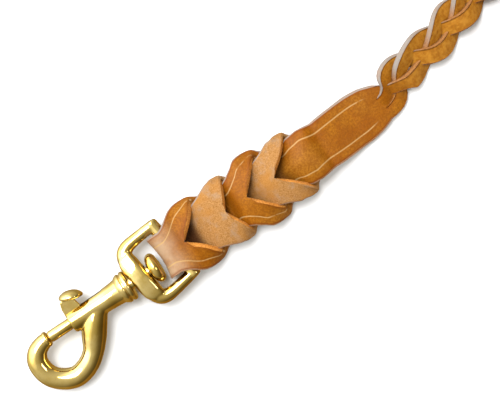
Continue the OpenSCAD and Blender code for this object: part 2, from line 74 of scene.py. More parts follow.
# Leather's materials by number, and which one shows on each face of a half section, a strand and the tie
GRAIN_SIDE, FLESH_SIDE, CUT_EDGE = 0, 1, 2
HALF_BANDS = [GRAIN_SIDE] * (ACROSS - 1) + [CUT_EDGE] * 3 + [FLESH_SIDE] * (ACROSS - 1)
SECTION_BANDS = HALF_BANDS + [CUT_EDGE] * 3
STRAND_BANDS = HALF_BANDS + HALF_BANDS[::-1]
TIE_BANDS = [CUT_EDGE, FLESH_SIDE, CUT_EDGE, CUT_EDGE] * 2

# Unevenness of hand-cut leather: its size on a strap and on a strand, its fineness, the least height over the table,
# and the seed that makes it the same in every run
UNEVEN_STRAP = 0.22
UNEVEN_STRAND = 0.18
UNEVEN_SCALE = 0.11
LEAST_Z = 0.02
UNEVEN_SEED = 5
noise.seed_set(UNEVEN_SEED)

# How close points are made one, in metres, and the distance that stands for no rim or slit near by
STRAP_WELD = 0.00002
FINE_WELD = 0.000001
NONE_NEAR = 99.0

# Strap, with places along it counted from the eye's far bar and heights from the snap's axis
STRAP_T = 3.8
HALF_W = 13.0
FOLD_HALF = 11.2
FOLD_MID_R = 5.4
FOLD_X = -1.67
FOLD_STEPS = 14
FOLD_PRESS = 1.7
SLITS = (6.7, 31.4, 43.9, 60.0, 78.0)
SPLICE_END = SLITS[4]
TAIL_END = 90.0
STRAP_END = 126.4
FLAT_Z = STRAP_T / 2 - AXIS_Z
OVER_TAIL_Z = FLAT_Z + STRAP_T + 0.3
STATION_GAP = 1.0
LEAST_OPEN = 0.02
THINNED = (STRAP_END - 5, STRAP_END + 4)
THIN_BY = 1.8
STRAP_SHARP = 40

# What the leather's looks read from the strap's points: the fold's painted sheen, where it is creased, how far down
# in thicknesses a riser lies, for painted shade, and how pale a slit's edge and the raw rim on either side are
STRAP_LAYERS = ("rim", "slit", "fold", "creased", "painted_depth_shade", "pale")
FOLD_SHEEN_SPAN = (9.0, -6.0)
CREASED = (STRAP_END - 7, STRAP_END - 12)
CREASE_IN = 5.4
DEPTH_SHADE_SPAN = (0.2, 1.05)
SLIT_EDGE = 2.0
SLIT_PALE = 0.15
RIM_PALE = {1: 0.85, -1: 0.4}

# Sideways drift of the strap: place along it, drift
BOW = (
    (0, -0.7), (6.7, -0.4), (31.4, 0.6), (43.9, 0.9), (60.0, 1.3), (78.0, 1.5), (102.2, 2.7), (126.4, 3.5),
)
STRAP_EXIT = Vector((STRAP_END + BAR_X, BOW[-1][1] + BAR_Y, 0.0))

# How far the legs' outer edges run on past their slits: place along the strap, distance
LAG = ((6.7, 0), (26.5, -2.0), (41.4, 0), (56.8, 5.0), (74.4, 4.4), (90.0, 0))
LEG_REACH = 1.25 * HALF_W

# Each crossing: how wide its legs spread, how far its riser is lifted at its start, how dark the painted shade in its
# depth is; and the widest that the last riser gets
SPREAD = (1.0, 0.97, 1.08, 0.96)
RISER_LIFT = (0.0, 0.55, 0.3, 0.15)
DEPTH_SHADE_STRENGTH = (1.0, 0.2, 0.5, 0.6)
LAST_RISER = 0.98

# Lean of the flat strap towards its -Y edge: place along it, degrees; and how far the lean raises its middle
LEAN = ((0, 0), (80, 0), (92, 4), (104, 8), (126.4, 11))
LEAN_LIFT = 0.86 * HALF_W

# One crossing of the splice: share of the way, leg's inner edge y and z, leg's outer edge y and z,
# riser's middle z, riser's edge y and z, with y in half widths and z in thicknesses
CROSSING = (
    (0.00, 0.00, 1.15, 1.24, 0.15, -1.15, 1.00, -1.25),
    (0.12, 0.18, 1.30, 1.30, 0.05, -1.13, 0.98, -1.25),
    (0.25, 0.38, 1.35, 1.33, -0.25, -0.92, 0.93, -1.18),
    (0.38, 0.62, 1.20, 1.31, -0.80, -0.40, 0.90, -0.72),
    (0.50, 0.87, 0.75, 1.27, -1.30, 0.12, 0.92, -0.28),
    (0.60, 0.99, -0.20, 1.22, -1.50, 0.46, 0.97, -0.02),
    (0.70, 0.78, -1.00, 1.16, -1.48, 0.72, 1.02, 0.12),
    (0.84, 0.42, -1.22, 1.06, -1.40, 0.98, 1.12, 0.20),
    (1.00, 0.00, -1.15, 1.00, -1.25, 1.15, 1.24, 0.15),
)

# Plait, with places counted from the strap's end. A strand's thickness, width, reach and tilt are given at the strap
# and further on
ROUTE_STEP = 2.0
CUT_LEN = 12
STRAND_T = (STRAP_T - 0.5, 3.4)
STRAND_W = (9.6, 9.0)
STRAND_REACH = (6.4, 5.6)
STRAND_TILT = (26.0, 8.0)
STRAND_ROLL = 14.0
STRAND_LIFT = 2.25
STRAND_CROWN = 0.15
STRAND_PERIOD = 58.8
STRAND_LEAD = 3.0
EARLY = (5.0, 0.0, 4.0)
EARLY_UNTIL = (36.0, 0.0)
STRAND_BEGINS = ((-4.0, 16.0), (-8.0, 12.0), (-4.0, 16.0))
STRAND_THINS = (-4.0, 12.0)
STRAND_SETTLES = (0.0, 62.0)
STRAND_TO_HANK = (80.0, 140.0)
PLAIT_LIFT = 4.5
PLAIT_RISES = (0.0, 24.0)
PLAIT_LEVELS = (0.0, 90.0)

# Looks of a strand: how gold it is, a tint partly painted light that offsets the plait's shade, how pale its edges
# are across the plait and in the hank, and the distance added at its rims, so that they are burnished less
STRAND_GOLD_AND_LIGHT = 0.55
GOLD_BEGINS = (2.0, 22.0)
STRAND_PALE = (0.1, 1.0)
PALE_ACROSS = (-3.0, 2.0)
HANK_PALE = 0.3
STRAND_RIM = 0.5

# Sideways drift of the plait from the strap's end to the hank: place, drift; and the share of the way where it climbs
RUN_STEPS = (
    (5, 1.2), (12, 5.7), (22, 8.3), (32, 9.8), (42, 12.4), (52, 15.6), (62, 19.2), (70, 21.6), (80, 23.2), (92, 21.8),
    (102, 18.4), (108, 16.8), (114, 16.3),
)
RUN_CLIMB = 0.6

# Hank: height of its first loop and of one loop, radius of its ends, its runs' length and place at the waist, turns,
# points of a turn, start and how far it runs on
HANK_Z = 5.7
HANK_LAYER = 8.3
HANK_R = 51.0
HANK_RUN = 134.0
HANK_WAIST = 34.0
HANK_TURNS = 2.5
TURN_STEPS = 240
HANK_STEP = (122.0, 16.3)
HANK_OUT = 8

# Width of the strands side by side where they leave the strap: place, width
CUT_WIDTHS = ((-16, 24.6), (-9, 23.2), (-5, 20.9), (-1, 18.6), (4, 18.4))

# Lead's flat end: where it leaves the plait, its length and half width, the neck where the strands merge into it
END_AT = (356.77, -76.72, 24.2)
END_LEN = 48.0
END_HALF = 11.9
END_NECK = 8.6
END_WIDENS = (0.0, 8.0)
END_TIP = 1.5
END_PALE = 0.3
END_STEPS = 40
MERGE_LEN = 24.0
MERGE_LIFT = 1.7

# Tie round the hank: its middle, the size of its middle line and that line's corners, and its section
TIE_AT = (297.77, -25.72, 14.65)
TIE_BOX = (92.3, 27.7)
TIE_CORNER = 5.8
TIE_STEPS = 8
TIE_HALF_W = 6.0
TIE_HALF_T = 0.8
TIE_BEVEL = 0.4

# Camera: the picture's middle on the table, turn of the lead in the picture, distance in metres, lens and sensor;
# and half the table's side
LOOK_AT = (25.5, 2.44)
LEAD_TURN = 33.5
CAMERA_Z = 0.584
LENS = 85.0
SENSOR = 36.0
TABLE_HALF = 9000.0

# Soft lights: name, place and size in metres, watts, whether the brass mirrors it; and what they shine at
LIGHTS = (
    ("key", (-0.2, 0.62, 1.32), 0.8, 28, True),
    ("fill", (0.9, -0.6, 1.2), 1.2, 10, False),
    ("window", (0.8, -0.2, 1.1), 0.32, 2.0, True),
)
LIT_PLACE = (0.02, 0.0, 0.0)

# Surroundings: the brightest direction, and colours above and below the horizon by the cosine of the angle from it
SKY_MIDDLE = (-0.45, 0.7, 0.55)
SKY = (
    (-1.0, (0.025, 0.017, 0.006)), (-0.83, (0.025, 0.018, 0.008)), (-0.45, (0.045, 0.036, 0.018)),
    (-0.2, (0.075, 0.064, 0.04)), (0.06, (0.125, 0.115, 0.085)), (0.55, (0.22, 0.212, 0.19)),
    (0.72, (0.45, 0.445, 0.43)), (0.85, (1.0, 1.0, 1.0)),
)
FLOOR = (
    (-1.0, (0.04, 0.024, 0.006)), (-0.9, (0.09, 0.05, 0.01)), (-0.55, (0.12, 0.075, 0.018)),
    (-0.06, (0.12, 0.1, 0.055)), (0.45, (0.28, 0.272, 0.25)), (0.85, (0.5, 0.5, 0.5)),
)
HORIZON_BLUR = 0.08
SKY_STRENGTH = 3.6

# How much brighter than a white card the stage's light shows a level surface
STAGE_LIGHT = 2.1


def mix(a, b, t):
    return a + (b - a) * t


def fade(x, start, end):
    """0 at start and 1 at end, with level ends; end may be the lesser one."""
    t = min(max((x - start) / (end - start), 0.0), 1.0)
    return t * t * (3 - 2 * t)


def through(rows, x):
    """Every column of rows at x, eased through the rows, whose first column is x."""
    if x <= rows[0][0]:
        return list(rows[0])
    if x >= rows[-1][0]:
        return list(rows[-1])
    i = max(k for k in range(len(rows) - 1) if rows[k][0] <= x)
    a, b = rows[i], rows[i + 1]
    before, after = rows[max(i - 1, 0)], rows[min(i + 2, len(rows) - 1)]
    step = b[0] - a[0]
    t = (x - a[0]) / step
    out = [x]
    for c in range(1, len(a)):
        slope_a = (b[c] - before[c]) / (b[0] - before[0]) * step
        slope_b = (after[c] - a[c]) / (after[0] - a[0]) * step
        out.append(
            (2 * t**3 - 3 * t**2 + 1) * a[c]
            + (t**3 - 2 * t**2 + t) * slope_a
            + (3 * t**2 - 2 * t**3) * b[c]
            + (t**3 - t**2) * slope_b
        )
    return out


def eased_rows(rows, steps):
    """Rows made smooth, each a list of numbers, with a number of steps between neighbours."""
    out = []
    last = len(rows) - 1
    for i in range(last):
        a, b, c, d = rows[max(i - 1, 0)], rows[i], rows[i + 1], rows[min(i + 2, last)]
        for k in range(steps):
            t = k / steps
            out.append([
                0.5 * (2 * q + (r - p) * t + (2 * p - 5 * q + 4 * r - w) * t**2 + (3 * q - p - 3 * r + w) * t**3)
                for p, q, r, w in zip(a, b, c, d)
            ])
    out.append(list(rows[last]))
    return out


# Meshes. A shell is a list of points and a list of faces


def circle(sides):
    """Cosine and sine of evenly spaced turns."""
    turns = [2 * math.pi * k / sides for k in range(sides)]
    return [(math.cos(turn), math.sin(turn)) for turn in turns]


def ring_quads(count, size, closed=False):
    """Quads between rings of points; a closed row of rings comes back to its first."""
    faces = []
    for i in range(count if closed else count - 1):
        a, b = i * size, (i + 1) % count * size
        for k in range(size):
            e = (k + 1) % size
            faces.append((a + k, b + k, b + e, a + e))
    return faces


def loft(rings):
    """A shell through rings of points, closed at both ends."""
    count, size = len(rings), len(rings[0])
    caps = [tuple(range(size)), tuple(range((count - 1) * size, count * size))]
    return [p for ring in rings for p in ring], ring_quads(count, size) + caps


def merged(shells):
    """Several shells as one."""
    points, faces = [], []
    for p, f in shells:
        base = len(points)
        points += p
        faces += [tuple(v + base for v in face) for face in f]
    return points, faces


def turned(shell, matrix):
    points, faces = shell
    return [tuple(matrix @ Vector(p)) for p in points], faces


def new_mesh(name, points, faces, materials, face_bands=None, layers=None):
    """A smooth mesh from points in millimetres, with float layers on its points."""
    mesh = bpy.data.meshes.new(name)
    mesh.from_pydata([[v * MM for v in p] for p in points], [], faces)
    for layer, values in (layers or {}).items():
        mesh.attributes.new(layer, "FLOAT", "POINT").data.foreach_set("value", values)
    for material in materials:
        mesh.materials.append(material)
    if face_bands:
        mesh.polygons.foreach_set("material_index", face_bands)
    mesh.polygons.foreach_set("use_smooth", [True] * len(mesh.polygons))
    obj = bpy.data.objects.new(name, mesh)
    bpy.context.scene.collection.objects.link(obj)
    return obj


def weld(obj, distance):
    """Makes close points one and turns the faces outward."""
    bm = bmesh.new()
    bm.from_mesh(obj.data)
    bmesh.ops.remove_doubles(bm, verts=bm.verts, dist=distance)
    bmesh.ops.recalc_face_normals(bm, faces=bm.faces)
    bm.to_mesh(obj.data)
    bm.free()


def sharpen(obj, degrees):
    """Keeps the edges that turn further than the given angle sharp."""
    obj.data.set_sharp_from_angle(angle=math.radians(degrees))


def apply_modifiers(obj):
    """Applies the object's modifiers."""
    graph = bpy.context.evaluated_depsgraph_get()
    mesh = bpy.data.meshes.new_from_object(obj.evaluated_get(graph))
    obj.modifiers.clear()
    obj.data = mesh


def belong(obj, body, slot, *nodes):
    """Puts a piece on its body in place of its CAD solids; its slot is not used."""
    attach(obj, body)
    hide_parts(*nodes)


# Materials


def linear(red, green, blue):
    """A colour as a shader takes it, from 0 to 255 as a screen shows it."""
    out = []
    for v in (red / 255, green / 255, blue / 255):
        out.append(v / 12.92 if v <= 0.04045 else ((v + 0.055) / 1.055) ** 2.4)
    return (*out, 1.0)


def shown(red, green, blue):
    """A colour that the stage's strong light shows as the given screen colour."""
    return (*[v / STAGE_LIGHT for v in linear(red, green, blue)[:3]], 1.0)


def fill(tree, socket, value):
    """Gives a socket a fixed value or another node's output."""
    if hasattr(value, "is_output"):
        tree.links.new(value, socket)
    else:
        socket.default_value = value


def add_node(tree, kind, inputs, output=0, **settings):
    """Adds a node and returns one of its outputs."""
    node = tree.nodes.new(kind)
    for name, value in settings.items():
        setattr(node, name, value)
    for name, value in inputs.items():
        fill(tree, node.inputs[name], value)
    return node.outputs[output]


class Look:
    """One procedural material and short ways to add nodes to it."""

    def __init__(self, name):
        self.material = bpy.data.materials.new(name)
        self.material.use_nodes = True
        self.tree = self.material.node_tree
        self.place = self.add("ShaderNodeTexCoord", {}, "Object")

    def add(self, kind, inputs, output=0, **settings):
        return add_node(self.tree, kind, inputs, output, **settings)

    def set(self, socket, value):
        fill(self.tree, self.tree.nodes["Principled BSDF"].inputs[socket], value)

    def noise(self, scale, detail, rough, stretch=None):
        """Noise from about 0.3 to 0.7, with scale counted per metre."""
        place = self.place
        if stretch:
            place = self.add("ShaderNodeMapping", {"Vector": place, "Scale": stretch})
        inputs = {"Vector": place, "Scale": scale, "Detail": detail, "Roughness": rough}
        return self.add("ShaderNodeTexNoise", inputs, "Fac")

    def cells(self, scale):
        return self.add("ShaderNodeTexVoronoi", {"Vector": self.place, "Scale": scale}, "Distance")

    def layer(self, name):
        """A float layer of the mesh."""
        return self.add("ShaderNodeAttribute", {}, "Fac", attribute_name=name)

    def span(self, value, low, high, to_low=0.0, to_high=1.0):
        """A value's range from low to high, eased to another range."""
        inputs = {"Value": value, "From Min": low, "From Max": high, "To Min": to_low, "To Max": to_high}
        return self.add("ShaderNodeMapRange", inputs, "Result", interpolation_type="SMOOTHSTEP")

    def math(self, kind, a, b):
        return self.add("ShaderNodeMath", {0: a, 1: b}, operation=kind)

    def colour_mix(self, share, a, b):
        return self.add("ShaderNodeMix", {"Factor": share, 6: a, 7: b}, 2, data_type="RGBA")

    def bump(self, height, strength, distance):
        """Relief of the surface, with distance in metres."""
        inputs = {"Strength": strength, "Distance": distance, "Height": height}
        self.set("Normal", self.add("ShaderNodeBump", inputs, "Normal"))

    def tint(self, share, *colour):
        """Turns the look's colour towards another one, as the stage's light shows it."""
        self.colour = self.colour_mix(share, self.colour, shown(*colour))

    def surface(self, shade, smooth, rough, shine):
        """Sets the colour, the roughness by a shade, and how much the surface shines."""
        self.set("Base Color", self.colour)
        self.set("Roughness", self.span(shade, 0.0, 1.0, smooth, rough))
        self.set("Specular IOR Level", shine)

    def paint_depth_shade(self):
        """Paints shade on leather where it comes up from under a slit."""
        self.tint(self.math("MULTIPLY", self.layer("painted_depth_shade"), 0.9), 58, 22, 10)


def grain_leather():
    """Golden tan grain side: mottled, painted sheen at the fold, burnished at slits and rims, worn crease lines, and
    painted shade under slits.
    """
    look = Look("grain_leather")
    patches = look.span(look.noise(75, 5, 0.62), 0.32, 0.68)
    look.colour = look.colour_mix(patches, shown(166, 92, 6), shown(196, 122, 22))
    dull = look.span(look.noise(34, 3, 0.5), 0.46, 0.70, 0.0, 0.5)
    look.tint(dull, 188, 128, 44)
    speck = look.span(look.noise(1000, 4, 0.7), 0.38, 0.62, 0.0, 0.7)
    look.tint(speck, 146, 82, 8)
    # Painted sheen: a pale pinkish tint where the strap runs round the fold, fading along it
    shine = look.span(look.noise(90, 3, 0.6), 0.25, 0.65, 0.3, 0.85)
    look.tint(look.math("MULTIPLY", look.layer("fold"), shine), 210, 178, 144)
    # Gold tint on the plait: partly the leather's tone, partly painted light that offsets the plait's shade
    glow = look.span(look.noise(430, 4, 0.65), 0.36, 0.64, 0.4, 1.35)
    look.tint(look.math("MULTIPLY", look.layer("gold_and_painted_light"), glow), 228, 160, 58)
    slit_burnish = look.span(look.layer("slit"), 0.2, 5.0, 0.4, 0.0)
    look.tint(slit_burnish, 126, 60, 16)
    rim_burnish = look.span(look.layer("rim"), 0.3, 2.4, 0.65, 0.0)
    look.tint(rim_burnish, 142, 66, 6)
    from_crease = look.math("ABSOLUTE", look.math("SUBTRACT", look.layer("rim"), CREASE_IN), 0.0)
    worn = look.span(look.noise(160, 3, 0.6), 0.28, 0.48)
    worn = look.math("MULTIPLY", worn, look.layer("creased"))
    crease = look.math("MULTIPLY", look.span(from_crease, 0.12, 0.5, 0.75, 0.0), worn)
    look.tint(crease, 226, 182, 118)
    # Painted shade where the grain comes up from under a slit
    look.paint_depth_shade()
    look.surface(patches, 0.42, 0.55, 0.09)
    grain = look.math("ADD", look.cells(1900), look.noise(700, 4, 0.6))
    look.bump(look.math("SUBTRACT", grain, look.math("MULTIPLY", crease, 0.8)), 0.35, 0.0003)
    return look.material


def flesh_leather():
    """Paler suede flesh side with a speckled nap, and painted shade where it comes up from under a slit."""
    look = Look("flesh_leather")
    nap = look.span(look.noise(1700, 4, 0.65, (1.0, 1.4, 1.4)), 0.30, 0.70)
    look.colour = look.colour_mix(nap, shown(168, 110, 50), shown(220, 166, 104))
    grey = look.span(look.noise(150, 5, 0.7), 0.46, 0.66, 0.0, 0.6)
    look.tint(grey, 190, 160, 130)
    warm = look.span(look.noise(60, 3, 0.6), 0.48, 0.70, 0.0, 0.5)
    look.tint(warm, 208, 140, 60)
    # Painted shade where the flesh comes up from under a slit
    look.paint_depth_shade()
    look.surface(nap, 0.85, 0.95, 0.05)
    look.bump(look.math("ADD", nap, look.noise(1600, 3, 0.6)), 0.45, 0.0003)
    return look.material


def edge_leather():
    """Raw cut edge: orange fibres, painted brighter in the slits to offset the shade there, with a pale nap where it
    is worn.
    """
    look = Look("edge_leather")
    fibres = look.span(look.noise(900, 5, 0.7, (1.0, 1.6, 2.2)), 0.34, 0.66)
    # Painted light: in the slits the edge's colours are not dimmed for the stage's light, so the shaded walls show
    # bright
    slit_painted_light = look.span(look.layer("slit"), 2.0, 4.0, 1.0, 0.0)
    dark = look.colour_mix(slit_painted_light, shown(168, 104, 40), linear(150, 86, 14))
    light = look.colour_mix(slit_painted_light, shown(212, 146, 78), linear(210, 138, 46))
    look.colour = look.colour_mix(fibres, dark, light)
    nap = look.span(look.noise(110, 4, 0.65), 0.3, 0.6, 0.7, 1.0)
    nap = look.math("MULTIPLY", nap, look.layer("pale"))
    look.tint(nap, 176, 165, 155)
    look.surface(fibres, 0.8, 0.95, 0.05)
    look.bump(look.math("ADD", fibres, look.noise(1500, 3, 0.6)), 0.4, 0.0003)
    return look.material


def polished_brass():
    look = Look("polished_brass")
    cloud = look.span(look.noise(60, 4, 0.6), 0.35, 0.65)
    look.set("Base Color", look.colour_mix(cloud, linear(208, 178, 94), linear(229, 205, 136)))
    look.set("Metallic", 1.0)
    look.set("Roughness", look.span(look.noise(180, 4, 0.6), 0.3, 0.7, 0.05, 0.1))
    look.bump(look.noise(90, 2, 0.5), 0.2, 0.0008)
    return look.material


def spring_wire():
    look = Look("spring_wire")
    streak = look.span(look.noise(800, 3, 0.5), 0.3, 0.7)
    look.set("Base Color", look.colour_mix(streak, linear(150, 150, 146), linear(186, 186, 182)))
    look.set("Metallic", 1.0)
    look.set("Roughness", look.span(streak, 0.0, 1.0, 0.25, 0.4))
    return look.material


def table_top():
    look = Look("table_top")
    shade = look.span(look.noise(3, 3, 0.5), 0.3, 0.7)
    look.colour = look.colour_mix(shade, linear(208, 209, 211), linear(212, 213, 215))
    look.surface(shade, 0.75, 0.85, 0.1)
    return look.material


LEATHER = (grain_leather(), flesh_leather(), edge_leather())
BRASS = polished_brass()
WIRE = spring_wire()


# Leather section shared by the strap, the strands and the flat end


def half_section(inner, outer, thick, open_slit, slant=(0.0, 0.0)):
    """Half of a strap's section from its inner to its outer edge, as (y, z, distance from rim, from slit)."""
    opened = min(1.0, inner[0] / SLIT_OPEN) if open_slit else 0.0
    power = mix(*BEND, opened)
    middle = []
    for k in range(ACROSS):
        s = k / (ACROSS - 1)
        middle.append(Vector((mix(inner[0], outer[0], s), mix(inner[1], outer[1], s**power))))
    way = [(middle[min(k + 1, ACROSS - 1)] - middle[max(k - 1, 0)]).normalized() for k in range(ACROSS)]
    if not open_slit:
        way[0] = Vector((1.0, 0.0))
    up = [Vector((-w.y, w.x)) for w in way]
    reach = [0.0]
    for k in range(1, ACROSS):
        reach.append(reach[-1] + (middle[k] - middle[k - 1]).length)
    top_pull, low_pull = [0.0] * ACROSS, [0.0] * ACROSS
    top_pull[0], low_pull[0] = slant[0] * opened, slant[1] * opened
    top_pull[-1] = low_pull[-1] = -EDGE_ROUND
    soft = thick / 2 - RIM_SOFT * EDGE_ROUND

    def row(k, height, shift):
        p = middle[k] + up[k] * height + way[k] * shift
        slit = reach[k] if open_slit else NONE_NEAR
        return (p.x, p.y, reach[-1] - reach[k], slit)

    top = [row(k, thick / 2, top_pull[k]) for k in range(ACROSS)]
    low = [row(k, -thick / 2, low_pull[k]) for k in range(ACROSS - 1, -1, -1)]
    rim = [row(ACROSS - 1, soft, 0.0), row(ACROSS - 1, -soft, 0.0)]
    wall = [row(0, -thick / 4, low_pull[0] / 2), row(0, thick / 4, top_pull[0] / 2)]
    return top + rim + low + wall


def uneven(p, size):
    """A point moved a little, as hand-cut leather is never quite even."""
    v = noise.noise_vector(Vector(p) * UNEVEN_SCALE) * size
    return (p[0] + v.x, p[1] + v.y, max(p[2] + v.z, LEAST_Z))


def leather_mesh(name, rows, faces, bands, layers):
    """Leather from rows of x, y, z and the layers' values."""
    values = {layer: [row[3 + k] for row in rows] for k, layer in enumerate(layers)}
    return new_mesh(name, [row[:3] for row in rows], faces, LEATHER, bands, values)


def leather_run(name, rings, opened, layers):
    """A strap through rings of rows, both halves of a section each, with a slit's walls only where it is open."""
    faces, bands = [], []
    size = 2 * SECTION
    for i in range(len(rings) - 1):
        for side in (0, 1):
            a, b = i * size + side * SECTION, (i + 1) * size + side * SECTION
            for c in range(SECTION):
                if c > 2 * ACROSS and not (opened[i] or opened[i + 1]):
                    continue
                e = (c + 1) % SECTION
                faces.append((a + c, b + c, b + e, a + e))
                bands.append(SECTION_BANDS[c])
    for end in (0, len(rings) - 1):
        for side in (0, 1):
            faces.append([end * size + side * SECTION + c for c in range(SECTION)])
            bands.append(CUT_EDGE)
    rows = [(*uneven(row[:3], UNEVEN_STRAP), *row[3:]) for ring in rings for row in ring]
    obj = leather_mesh(name, rows, faces, bands, layers)
    weld(obj, STRAP_WELD)
    return obj


# Strap. A station is a place along it, the y and z of its slit's edge and the y and z of its outer edge


def crossing_stations(i, leg):
    """Stations of one crossing, for the strap whose legs part or for the one that rises between them."""
    rows = []
    for row in CROSSING:
        x = mix(SLITS[i], SLITS[i + 1], row[0])
        if leg:
            rows.append((x, row[1] * HALF_W, row[2] * STRAP_T, row[3] * HALF_W * SPREAD[i], row[4] * STRAP_T))
        else:
            edge = min(row[6], LAST_RISER) if i == len(SLITS) - 2 else row[6]
            lift = RISER_LIFT[i] * (1 - row[0])
            rows.append((x, 0.0, (row[5] + lift) * STRAP_T, edge * HALF_W, (row[7] + lift) * STRAP_T))
    return rows


def main_stations():
    """From the fold, as legs at the first and third crossing, to the plait."""
    mean = (OVER_TAIL_Z + FLAT_Z) / 2
    start = [
        (FOLD_X, 0, FOLD_MID_R, FOLD_HALF, FOLD_MID_R),
        (0.8, 0, FOLD_MID_R, FOLD_HALF + 1.0, FOLD_MID_R - 0.05),
        (3.6, 0, FOLD_MID_R - 0.1, FOLD_HALF + 2.6, FOLD_MID_R - 0.6),
        (SLITS[0], 0, 1.15 * STRAP_T, 1.22 * HALF_W, 0.6 * STRAP_T),
    ]
    end = [
        (SPLICE_END + 5, 0, 0.75 * STRAP_T, 0.97 * HALF_W, 0.2 * STRAP_T),
        (SPLICE_END + 10, 0, OVER_TAIL_Z + 0.9, 0.96 * HALF_W, OVER_TAIL_Z + 0.4),
        (TAIL_END + 2, 0, OVER_TAIL_Z, 0.98 * HALF_W, OVER_TAIL_Z),
        (TAIL_END + 10, 0, mean, HALF_W, mean),
        (TAIL_END + 18, 0, FLAT_Z, HALF_W, FLAT_Z),
        (STRAP_END - 15, 0, FLAT_Z, HALF_W, FLAT_Z),
        (STRAP_END - 9, 0, FLAT_Z, 12.3, FLAT_Z),
        (STRAP_END - 5, 0, FLAT_Z, 11.1, FLAT_Z),
        (STRAP_END - 1, 0, FLAT_Z, 9.4, FLAT_Z),
        (STRAP_END + 6, 0, FLAT_Z, 4.0, FLAT_Z),
    ]
    splice = [st for i in range(4) for st in crossing_stations(i, i % 2 == 0)[1:]]
    return start + splice + end


def tail_stations():
    """From the fold, as legs at the second and fourth crossing, to the tail's end under the strap."""
    start = [
        (FOLD_X, 0, -FOLD_MID_R, FOLD_HALF, -FOLD_MID_R),
        (4.2, 0, -FOLD_MID_R, FOLD_HALF + 0.2, -FOLD_MID_R),
    ]
    flat = FLAT_Z + 0.05
    end = [
        (SPLICE_END + 4, 0, -1.3 * STRAP_T, 0.96 * HALF_W, -1.38 * STRAP_T),
        (SPLICE_END + 8, 0, flat, 0.95 * HALF_W, flat),
        (TAIL_END - 5, 0, flat, 0.9 * HALF_W, flat),
        (TAIL_END - 1.5, 0, flat, 0.75 * HALF_W, flat),
        (TAIL_END, 0, flat, 0.55 * HALF_W, flat),
    ]
    splice = crossing_stations(0, False)
    splice += [st for i in range(1, 4) for st in crossing_stations(i, i % 2 == 1)[1:]]
    return start + splice + end


def fine_stations(rows):
    """Stations about a millimetre apart, with the slit shut wherever both neighbours are shut."""
    out = []
    for a, b in zip(rows, rows[1:]):
        count = max(1, math.ceil((b[0] - a[0]) / STATION_GAP))
        for k in range(count):
            st = through(rows, mix(a[0], b[0], k / count))
            shut = (a[1] == 0 and b[1] == 0) or (k == 0 and a[1] == 0)
            st[1] = 0.0 if shut else max(st[1], LEAST_OPEN)
            out.append(st)
    out.append(list(rows[-1]))
    return out


def strap_ring(st, grain_up):
    """Both halves of the section at one station, as x, y, z in the part's frame and the layers' values."""
    sign = 1 if grain_up else -1
    x, yi, zi, yo, zo = st
    lean = math.radians(through(LEAN, x)[1]) if grain_up else 0.0
    drift = through(BOW, x)[1]
    lag = through(LAG, x)[1] / LEG_REACH
    thick = STRAP_T - THIN_BY * fade(x, *THINNED) if grain_up else STRAP_T
    slant = GRAIN_SLANT if grain_up else FLESH_SLANT
    # Painted shade on a riser that goes down under a slit, darker as it lies lower, by its crossing's strength
    tone = next((t for a, b, t in zip(SLITS, SLITS[1:], DEPTH_SHADE_STRENGTH) if a <= x < b), 0.0)
    painted_depth_shade = tone * fade(-zi / STRAP_T, *DEPTH_SHADE_SPAN) if yi == 0 else 0.0
    ring = []
    for side in (1, -1):
        for y, z, rim, slit in half_section((yi, sign * zi), (yo, sign * zo), thick, yi > 0, slant):
            y, z = side * y, sign * z
            low = z - FLAT_Z
            y, z = y * math.cos(lean) - low * math.sin(lean), FLAT_Z + y * math.sin(lean) + low * math.cos(lean)
            z += LEAN_LIFT * math.sin(lean)
            pale = SLIT_PALE if slit < SLIT_EDGE else RIM_PALE[side]
            place = (x + lag * abs(y) + BAR_X, y + drift + BAR_Y, z + AXIS_Z)
            # The fold's painted sheen fades out along the strap
            ring.append((*place, rim, slit, fade(x, *FOLD_SHEEN_SPAN), fade(x, *CREASED), painted_depth_shade, pale))
    return ring


def fold_ring(turn):
    """The section where the strap goes round the far bar, pressed thinner in the middle of its front."""
    ring = []
    front = math.sin(turn)
    for side in (1, -1):
        for y, z, rim, slit in half_section((0, 0), (FOLD_HALF, 0), STRAP_T, False):
            if z > 0:
                z -= FOLD_PRESS * front * (1 - (y / FOLD_HALF) ** 2) * z / (STRAP_T / 2)
            r = FOLD_MID_R + z
            x, z = FOLD_X - r * math.sin(turn), r * math.cos(turn)
            place = (BAR_X + x, BAR_Y + BOW[0][1] + side * y, AXIS_Z + z)
            # Round the bar: full painted sheen, crease lines, and no painted shade
            ring.append((*place, rim, slit, 1.0, 1.0, 0.0, RIM_PALE[side]))
    return ring


def build_strap():
    """The strap from its tail's end, back through the splice, round the far bar and out to the plait."""
    tail = list(reversed(fine_stations(tail_stations())))
    main = fine_stations(main_stations())
    turns = [math.pi * (1 - k / FOLD_STEPS) for k in range(1, FOLD_STEPS)]
    rings = [strap_ring(st, False) for st in tail] + [fold_ring(turn) for turn in turns]
    rings += [strap_ring(st, True) for st in main]
    opened = [st[1] > 0 for st in tail] + [False] * len(turns) + [st[1] > 0 for st in main]
    obj = leather_run("strap", rings, opened, STRAP_LAYERS)
    sharpen(obj, STRAP_SHARP)
    return obj


# Plait


